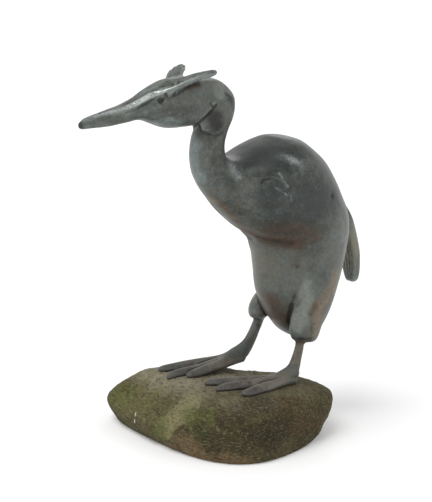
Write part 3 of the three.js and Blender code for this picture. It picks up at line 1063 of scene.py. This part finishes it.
class Tone:
    """A value, colour or place inside a finish, which adds up like a number."""

    def __init__(self, tree, socket):
        self.tree = tree
        self.socket = socket

    def node(self, kind, settings, sockets, output=0):
        """Adds a node: its settings first, then the values or links of its sockets."""
        made = self.tree.nodes.new(kind)
        for name, value in settings.items():
            if name == "stops":
                lay_stops(made.color_ramp, value)
            else:
                setattr(made, name, value)
        for name, value in sockets.items():
            if isinstance(value, Tone):
                self.tree.links.new(value.socket, made.inputs[name])
            else:
                made.inputs[name].default_value = value
        return Tone(self.tree, made.outputs[output])

    def maths(self, operation, *parts):
        return self.node("ShaderNodeMath", {"operation": operation}, dict(enumerate(parts)))

    def __add__(self, other):
        return self.maths("ADD", self, other)

    __radd__ = __add__

    def __sub__(self, other):
        return self.maths("SUBTRACT", self, other)

    def __rsub__(self, other):
        return self.maths("SUBTRACT", other, self)

    def __mul__(self, other):
        return self.maths("MULTIPLY", self, other)

    __rmul__ = __mul__

    def dimmed(self, amount):
        """A colour made lighter or darker by a value."""
        return self.node("ShaderNodeVectorMath", {"operation": "SCALE"}, {0: self, 3: amount})

    def most(self, other):
        return self.maths("MAXIMUM", self, other)

    def size(self):
        return self.maths("ABSOLUTE", self)

    def rise(self, start, end):
        """Goes from 0 at start to 1 at end, level at both."""
        return self.node("ShaderNodeMapRange", {"interpolation_type": "SMOOTHSTEP"},
                         {"Value": self, "From Min": start, "From Max": end})

    def vector(self, operation, other, output=0):
        sockets = {0: self, 1: other}
        return self.node("ShaderNodeVectorMath", {"operation": operation}, sockets, output)

    def near(self, centre, radii):
        """1 at a place, falling to 0 at those distances from it."""
        off = self.vector("SUBTRACT", centre).vector("DIVIDE", radii)
        return 1 - off.vector("LENGTH", (0, 0, 0), 1).rise(0, 1)

    def clouds(self, size, detail=2, roughness=0.5, output=0):
        """Soft noise from 0 to 1, with clouds of about that size in millimetres."""
        sockets = {"Vector": self, "Scale": 1 / size, "Detail": detail, "Roughness": roughness}
        return self.node("ShaderNodeTexNoise", {"normalize": True}, sockets, output)

    def stirred(self, size, reach):
        """The places moved about, so that what is laid by them gets an uneven rim."""
        stir = self.clouds(size, 3, output="Color").vector("SUBTRACT", (0.5,) * 3)
        return self.vector("ADD", stir.dimmed(reach))

    def axis(self, name):
        return self.node("ShaderNodeSeparateXYZ", {}, {"Vector": self}, name)

    def felt(self, name):
        """A value kept on the points of the piece."""
        return self.node("ShaderNodeAttribute", {"attribute_name": name}, {}, "Fac")


def lay_stops(ramp, stops):
    while len(ramp.elements) > 1:
        ramp.elements.remove(ramp.elements[-1])
    for index, (place, colour) in enumerate(stops):
        stop = ramp.elements[0] if index == 0 else ramp.elements.new(place)
        stop.position = place
        stop.color = colour


def paint(red, green, blue):
    """A colour as seen on a screen, 0 to 255, turned to light."""
    levels = [c / 255 for c in (red, green, blue)]
    return (*[c / 12.92 if c < 0.04045 else ((c + 0.055) / 1.055) ** 2.4 for c in levels], 1)


def start_finish(name):
    """A new finish: its material, places on the piece in mm, and how sharply it turns there."""
    finish = bpy.data.materials.new(name)
    finish.use_nodes = True
    finish.node_tree.nodes.clear()
    blank = Tone(finish.node_tree, None)
    place = blank.node("ShaderNodeTexCoord", {}, {}, "Object").vector("MULTIPLY", (1 / MM,) * 3)
    return finish, place, place.felt("stands_out")


# How rough the wax on the metal is, and how strongly metal and stone mirror the light.
WAX_ROUGHNESS = 0.28
METAL_SHINE = 0.5
STONE_SHINE = 0.2


def end_finish(finish, place, colour, roughness, metallic, relief, wax, shine):
    """Closes a finish. Its relief is in mm."""
    bumps = place.node("ShaderNodeBump", {}, {"Strength": 1, "Distance": MM, "Height": relief})
    shader = place.node("ShaderNodeBsdfPrincipled", {}, {
        "Base Color": colour, "Roughness": roughness, "Metallic": metallic, "Normal": bumps,
        "Coat Weight": wax, "Coat Roughness": WAX_ROUGHNESS, "Specular IOR Level": shine,
    })
    end = finish.node_tree.nodes.new("ShaderNodeOutputMaterial")
    finish.node_tree.links.new(shader.socket, end.inputs["Surface"])
    return finish


def patches(place, spots, broken, blots):
    """1 in the middle of the spots and 0 outside them, broken up by blots from 0 to 1."""
    amount = functools.reduce(Tone.most, (place.near(spot[:3], spot[3:]) for spot in spots))
    return (amount * (1 + 0.6 * broken) - blots * broken).rise(0, 1 - 0.4 * broken)


def broad_coats(rows, place, blots):
    """How much of each broad colour lies where."""
    return [(shade, patches(place, spots, broken, blots) * amount)
            for shade, amount, broken, spots in rows]


def coated(colour, coats):
    """A colour with others laid over it, each by its amount."""
    for shade, amount in coats:
        sockets = {0: amount, 6: colour, 7: shade}
        colour = amount.node("ShaderNodeMix", {"data_type": "RGBA"}, sockets, 2)
    return colour


# Colours of the patina.
GREY_GREEN = paint(84, 88, 82)
SLATE = paint(30, 37, 34)
BLUE_TINT = paint(92, 104, 106)
BROWN_TINT = paint(92, 84, 72)
BLUE_GREY = paint(116, 129, 129)
MOSS_GREY = paint(58, 61, 56)
HEAD_GREY = paint(118, 124, 118)
PALE_GREY = paint(90, 94, 88)
BELLY_TINT = paint(94, 92, 79)
RUST = paint(74, 52, 32)
OCHRE = paint(124, 105, 80)
PLUM_BROWN = paint(90, 76, 64)
# Near black, for soot and for painted shade.
SHADE_AND_SOOT = paint(29, 27, 23)
# Pale colour of tool marks, worn edges and specks, also used for painted highlights.
CHALK_AND_SHEEN = paint(140, 148, 146)
# Pale colour of the painted highlight on the brow ridge and the tuft tips.
POLISH_HIGHLIGHT = paint(190, 197, 194)
TAIL_GREEN = paint(122, 118, 100)
PALE_CUFF = paint(130, 135, 127)
LEG_BROWN = paint(100, 92, 80)
FOOT_GREY = paint(110, 104, 92)
TOE_BROWN = paint(66, 60, 57)

# Broad colours on the bird's left side, one over another: how much, how broken up, and where:
# x, y and z of a centre, then its reach along them. First the head and neck, then the body.
HEAD_PATINA = [
    (MOSS_GREY, 0.85, 0.5, [
        (26, -80, 480, 20, 70, 24), (30, -24, 446, 26, 36, 34),
        (28, -14, 400, 30, 34, 60), (20, 20, 345, 40, 60, 50),
    ]),
    (HEAD_GREY, 0.75, 0.6, [
        (12, -110, 514, 34, 90, 26), (34, -60, 528, 34, 50, 22),
        (8, -170, 488, 20, 70, 16), (24, -4, 505, 30, 34, 24),
    ]),
    (BLUE_GREY, 0.6, 0.8, [
        (6, -42, 430, 20, 20, 40), (2, -42, 404, 22, 18, 34),
        (14, -95, 468, 30, 42, 12), (8, -36, 384, 24, 18, 22),
    ]),
]
BODY_PATINA = [
    (SLATE, 0.9, 0.35, [
        (50, 110, 345, 120, 130, 104), (36, 70, 405, 100, 110, 60),
        (54, 56, 360, 60, 56, 60), (74, 150, 350, 50, 56, 60),
    ]),
    (BELLY_TINT, 0.7, 0.6, [(10, 84, 240, 50, 50, 55)]),
    (PALE_GREY, 0.5, 0.7, [(24, 94, 222, 80, 70, 46), (56, 130, 195, 40, 60, 60)]),
    (PALE_CUFF, 0.62, 0.6, [(52, 112, 172, 28, 28, 50), (58, 120, 202, 22, 24, 50)]),
    (PLUM_BROWN, 0.8, 0.6, [(4, 104, 166, 50, 46, 40), (12, 92, 192, 34, 30, 24)]),
    (TAIL_GREEN, 0.8, 0.5, [(8, 250, 262, 44, 34, 90)]),
    (LEG_BROWN, 0.85, 0.5, [(48, 112, 112, 22, 32, 44)]),
    (FOOT_GREY, 0.95, 0.4, [(50, 30, 86, 70, 130, 26)]),
    (TOE_BROWN, 0.85, 0.5, [(50, -18, 82, 100, 96, 26), (84, 8, 84, 26, 66, 22)]),
    # Painted shade in the gap between the body and the tail.
    (SHADE_AND_SOOT, 0.85, 0.5, [
        (14, 208, 298, 30, 16, 30), (14, 224, 262, 28, 14, 30),
        (12, 238, 236, 26, 9, 26),
    ]),
]


def bronze():
    """Dull grey-green patina over cast metal, rubbed on its edges and darker in its hollows."""
    finish, place, edges = start_finish("patinated_metal")
    x, y, z = (place.axis(name) for name in "XYZ")
    either = place.node("ShaderNodeCombineXYZ", {}, {0: x.size(), 1: y, 2: z}).stirred(16, 16)
    broad = place.clouds(46, 3)
    mottle = place.clouds(11, 4, 0.6)
    fine = place.clouds(3.6, 3, 0.65)
    streaks = place.vector("MULTIPLY", (1, 1, 4.5)).clouds(24, 4, 0.65)
    blots = mottle.rise(0.3, 0.7) * 0.6 + fine.rise(0.3, 0.7) * 0.4
    blue = place.clouds(7, 3, 0.6)
    brown = place.vector("ADD", (40, 0, 0)).clouds(9, 3, 0.6)
    mark = {name: place.felt(name) for name in STAINS_AND_PAINTED_LIGHT}
    hollow = (edges * -1 + (fine - 0.5) * 0.03).rise(0.012, 0.09)
    rubbed = (edges + (mottle - 0.5) * 0.05).rise(0.06, 0.2)
    low = z.rise(150, 112)
    specks = place.clouds(2.1, 1).rise(0.7, 0.78) * mottle.rise(0.45, 0.6)
    polish_and_sheen = (place.felt("polish_and_highlight") * (0.75 + fine * 0.5)).rise(0.15, 0.95)
    colour = coated(GREY_GREEN, [
        (SLATE, broad.rise(0.4, 0.7) * 0.5),
        *broad_coats(HEAD_PATINA, either, blots),
        (BLUE_TINT, blue.rise(0.5, 0.68) * 0.45),
        (BROWN_TINT, brown.rise(0.5, 0.68) * 0.45),
        *broad_coats(BODY_PATINA, either, blots),
        (OCHRE, (mark["ochre"] * (0.55 + blots * 0.9)).rise(0.1, 1.1) * 0.68),
        (RUST, (mark["rust"] * (0.15 + streaks * 1.7)).rise(0.05, 1.1) * 0.85),
        # Pale tool marks, with the painted highlight on the hump and along the lobe's rim.
        (CHALK_AND_SHEEN, (mark["chalk_and_highlight"] * (0.6 + blots * 0.8)).rise(0.1, 1.1) * 0.8),
        (SHADE_AND_SOOT, hollow * 0.7),
        (CHALK_AND_SHEEN, rubbed * (0.4 - low * 0.34)),
        # Grime, with painted shadow under the tuft, cheek edge and lobe, and along the wing's
        # edge.
        (SHADE_AND_SOOT, (mark["grime_and_shade"] * (0.45 + blots * 1.1)).rise(0.1, 0.9) * 0.85),
        (CHALK_AND_SHEEN, specks * 0.45),
        # Painted highlight along the brow ridge and on the tuft tips, over their worn polish.
        (POLISH_HIGHLIGHT, polish_and_sheen * 0.85),
    ]).dimmed(mottle * 0.8 + fine * 1.25 - 0.03)
    roughness = 0.5 + (mottle - 0.5) * 0.3 + (fine - 0.5) * 0.2 + hollow * 0.3 - polish_and_sheen * 0.2
    roughness = roughness + mark["rust"] * 0.25 + low * 0.1
    metallic = 0.35 + polish_and_sheen * 0.3 - hollow * 0.3 - mark["rust"] * 0.3 - low * 0.2
    relief = fine * 0.14 + mottle * 0.2 + place.clouds(0.9, 2) * 0.02
    wax = 0.26 - hollow * 0.3 - mark["grime_and_shade"] * 0.3 - mark["rust"] * 0.4 - low * 0.2
    return end_finish(finish, place, colour, roughness, metallic, relief, wax, METAL_SHINE)


# Colours of the stone.
STONE_OLIVE = paint(80, 75, 49)
STONE_BROWN = paint(58, 51, 34)
STONE_TOP_PALE_AND_LIT = paint(148, 142, 120)
STONE_DARK = paint(36, 32, 23)
PALE_MOSS = paint(142, 138, 102)
GREEN_MOSS = paint(88, 92, 48)
PALE_GRAIN = paint(136, 129, 102)
EARTH = paint(122, 99, 72)
DARK_EARTH = paint(72, 56, 38)
OLIVE_MOSS = paint(106, 101, 66)
LIME = paint(214, 210, 196)
# Its broad colours, listed as those of the bird: moss, then earth and shade over it.
STONE_MOSSES = [
    (PALE_MOSS, 0.62, 0.8, [
        (20, -62, 72, 44, 34, 26), (20, -76, 54, 44, 36, 38), (6, -84, 34, 28, 26, 36),
    ]),
    (GREEN_MOSS, 0.65, 0.7, [
        (40, -70, 52, 34, 28, 30), (52, -69, 42, 36, 28, 28), (62, -60, 60, 34, 28, 18),
        (-126, -80, 44, 66, 44, 40), (-150, -40, 50, 50, 56, 34),
        (-8, -90, 30, 30, 24, 34),
    ]),
]
STONE_EARTHS = [
    (EARTH, 0.52, 0.8, [
        (59, -78, 6, 76, 50, 30), (100, -50, 6, 60, 54, 24), (20, -92, 5, 54, 32, 17),
        (44, -86, 20, 60, 36, 30),
    ]),
    (DARK_EARTH, 0.7, 0.6, [
        (120, 56, 40, 40, 60, 34), (112, 90, 40, 40, 50, 40), (112, 40, 70, 36, 60, 26),
    ]),
    (STONE_DARK, 0.55, 0.6, [
        (110, 0, 40, 60, 70, 36), (100, -6, 78, 50, 50, 24), (60, -70, 40, 34, 30, 20),
    ]),
]
OLIVE_SPOTS = [(-80, -70, 50, 120, 90, 70), (0, -86, 40, 50, 40, 60)]
LIME_SPOTS = [(-71, -93, 34, 2.6, 14, 5), (-71, -93, 24, 2.6, 14, 6)]


def stone():
    """Weathered grainy stone with moss, and earth along its foot; its top is paler, partly as
    painted light.
    """
    finish, place, edges = start_finish("mossy_stone")
    broad = place.clouds(55, 3)
    mottle = place.clouds(15, 4, 0.65)
    grain = place.clouds(4.2, 4, 0.75)
    sand = place.clouds(1.7, 2, 0.6)
    fibres = place.stirred(30, 20).vector("MULTIPLY", (0.5, 1, 2.2)).clouds(4.6, 4, 0.75)
    blots = mottle.rise(0.3, 0.7) * 0.5 + grain.rise(0.3, 0.7) * 0.5
    stirred = place.stirred(22, 26)
    # Where the stone's top is painted paler, partly as light falling on it.
    top = (stirred.axis("Z") + blots * 8).rise(64, 92)
    pale_moss, green_moss = broad_coats(STONE_MOSSES, stirred, blots)
    scattered = (broad + grain * 0.5).rise(0.8, 1.1) * 0.4
    hollow = (edges * -1 + (grain - 0.5) * 0.06).rise(0.01, 0.14)
    lime = patches(place, LIME_SPOTS, 1, sand.rise(0.3, 0.7))
    colour = coated(STONE_OLIVE, [
        (STONE_BROWN, (broad * 0.6 + mottle * 0.4).rise(0.4, 0.6)),
        (OLIVE_MOSS, patches(stirred, OLIVE_SPOTS, 0.5, blots) * 0.75),
        # Paler top, partly painted light, fading towards the right where less light falls.
        (STONE_TOP_PALE_AND_LIT, top * (0.8 - stirred.axis("X").rise(-30, 60) * 0.55)),
        pale_moss,
        (GREEN_MOSS, green_moss[1] + scattered),
        *broad_coats(STONE_EARTHS, stirred, blots),
        (STONE_DARK, fibres.rise(0.48, 0.62) * 0.55),
        (PALE_GRAIN, fibres.rise(0.46, 0.32) * 0.6),
        (PALE_GRAIN, sand.rise(0.57, 0.74) * 0.55),
        (STONE_DARK, hollow * 0.5),
        (LIME, lime * 0.8),
    ])
    relief = grain * 1.1 + fibres * 1.1 + sand * 0.7 + mottle * 0.3
    return end_finish(finish, place, colour, 0.92 - grain * 0.1, 0, relief, 0, STONE_SHINE)


# Camera: where it aims, how far off it stands, its bearing and height, and its lens in mm.
AIM = Vector((0, 0, 0.276))
CAMERA_DISTANCE = 1.9
CAMERA_BEARING = math.radians(52)
CAMERA_HEIGHT = math.radians(12.5)
LENS = 96.6
SENSOR = 36
FLOOR_REACH = 60
FLOOR_DROP = 0.0004
PAPER = {
    "Base Color": (0.92, 0.92, 0.92, 1), "Roughness": 0.9,
    "Emission Color": (1, 1, 1, 1), "Emission Strength": 0.12,
}
# Light of the sky from the horizon up, and of the soft lamps: bearing round from the camera and
# height in degrees, strength, and width in degrees.
SKY = [(0, 1), (0.3, 0.95), (0.55, 0.5), (1, 0.4)]
LAMPS = [(-55, 66, 1.6, 40), (171, 30, 0.26, 24), (85, 44, 0.25, 24)]


def look_back(thing, bearing, height):
    """Turns a lamp or camera towards the bird, with its bearing from -Y towards +X."""
    flat = math.cos(height)
    way = Vector((math.sin(bearing) * flat, -math.cos(bearing) * flat, math.sin(height)))
    thing.rotation_euler = way.to_track_quat("Z", "Y").to_euler()
    return way


def lay_floor():
    corners = [(x * FLOOR_REACH, y * FLOOR_REACH, -FLOOR_DROP)
               for x, y in ((-1, -1), (1, -1), (1, 1), (-1, 1))]
    mesh = bpy.data.meshes.new("pale_floor")
    mesh.from_pydata(corners, [], [[0, 1, 2, 3]])
    floor = new_object("pale_floor", mesh)
    paper = bpy.data.materials.new("pale_paper")
    paper.use_nodes = True
    for name, value in PAPER.items():
        paper.node_tree.nodes["Principled BSDF"].inputs[name].default_value = value
    mesh.materials.append(paper)


def light_sky():
    world = bpy.data.worlds.new("soft_daylight")
    world.use_nodes = True
    up = Tone(world.node_tree, None).node("ShaderNodeTexCoord", {}, {}, "Generated").axis("Z")
    stops = [(share, (level,) * 3 + (1,)) for share, level in SKY]
    sky = up.node("ShaderNodeValToRGB", {"stops": stops}, {"Fac": up})
    world.node_tree.links.new(sky.socket, world.node_tree.nodes["Background"].inputs["Color"])
    bpy.context.scene.world = world


def hang_lamps():
    for number, (bearing, height, strength, width) in enumerate(LAMPS):
        lamp = bpy.data.lights.new(f"soft_lamp_{number}", "SUN")
        lamp.energy = strength
        lamp.angle = math.radians(width)
        hung = new_object(lamp.name, lamp)
        look_back(hung, CAMERA_BEARING + math.radians(bearing), math.radians(height))


def set_camera():
    camera = new_object("camera", bpy.data.cameras.new("camera"))
    camera.data.lens = LENS
    camera.data.sensor_width = SENSOR
    camera.location = AIM + look_back(camera, CAMERA_BEARING, CAMERA_HEIGHT) * CAMERA_DISTANCE
    bpy.context.scene.camera = camera
    bpy.context.scene.view_settings.view_transform = "Standard"


lay_floor()
light_sky()
hang_lamps()
set_camera()
piece("grebe_cast", make_grebe(), "grebe", bronze())
piece("boulder_rough", make_stone(), "boulder", stone())
